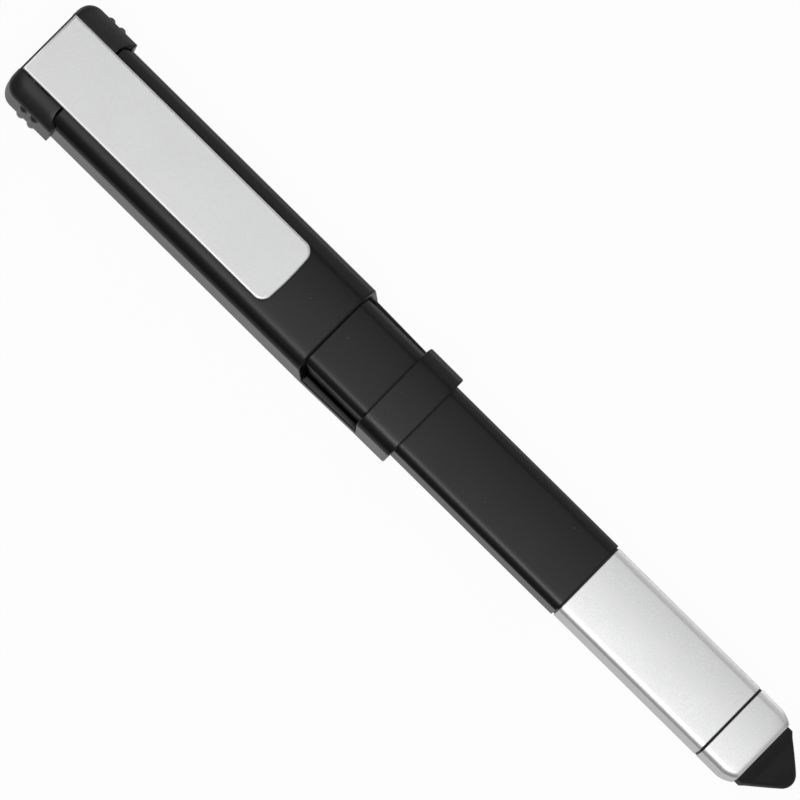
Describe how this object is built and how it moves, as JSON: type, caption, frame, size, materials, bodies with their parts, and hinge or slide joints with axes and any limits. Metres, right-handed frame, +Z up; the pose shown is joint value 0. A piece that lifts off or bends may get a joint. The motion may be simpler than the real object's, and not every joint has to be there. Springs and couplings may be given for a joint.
{
  "type": "stylus pen",
  "caption": "Flat ball-point pen with a rubber stylus tip, pushed into a clip-on sleeve whose cross slot holds a phone upright.",
  "frame": {"origin": "on the surface that the pen lies on, under the middle of its length", "axes": "+X along the pen to the rubber tip, +Z up through the clip, +Y to the left seen from the clip end"},
  "size_m": [0.146, 0.0186, 0.0111],
  "materials": {
    "black_plastic": "satin black moulded plastic",
    "black_rubber": "matt black rubber",
    "tip_rubber": "matt conductive rubber",
    "silver_sheet": "satin silver sheet",
    "silver_nose": "fine silver lacquer",
    "steel": "plain bright steel",
    "brass": "turned brass",
    "ink_tube": "clear tube with dark ink"
  },
  "bodies": {
    "holder": {"holder_sleeve": "black_plastic", "end_cap": "black_plastic", "hinge_pin": "steel", "clip_spring": "steel", "grip_pads": "black_rubber"},
    "clip": {"clip": "silver_sheet"},
    "pen": {"barrel": "black_plastic", "nib_section": "black_plastic", "nib_cone": "steel", "refill_tube": "ink_tube", "refill_tip": "brass", "writing_ball": "steel"},
    "nose": {"nose_plug": "black_plastic", "plug_band": "black_rubber", "nose_shell": "silver_nose", "seam_ring": "black_rubber", "tip_collar": "silver_nose", "tip_post": "black_plastic", "post_pin": "steel", "stylus_tip": "tip_rubber"}
  },
  "joints": [
    {"name": "pen_pull", "type": "slide", "parent": "holder", "child": "pen", "axis": [1, 0, 0], "range_m": [0, 0.062]},
    {"name": "nose_pull", "type": "slide", "parent": "pen", "child": "nose", "axis": [1, 0, 0], "range_m": [0, 0.0135]},
    {"name": "clip_hinge", "type": "hinge", "parent": "holder", "child": "clip", "pos_m": [-0.0704, 0, 0.0086], "axis": [0, -1, 0], "range_deg": [0, 35], "stiffness_Nm_per_rad": 0.002, "springref_deg": -45.84, "deforming": ["clip_spring"]}
  ]
}
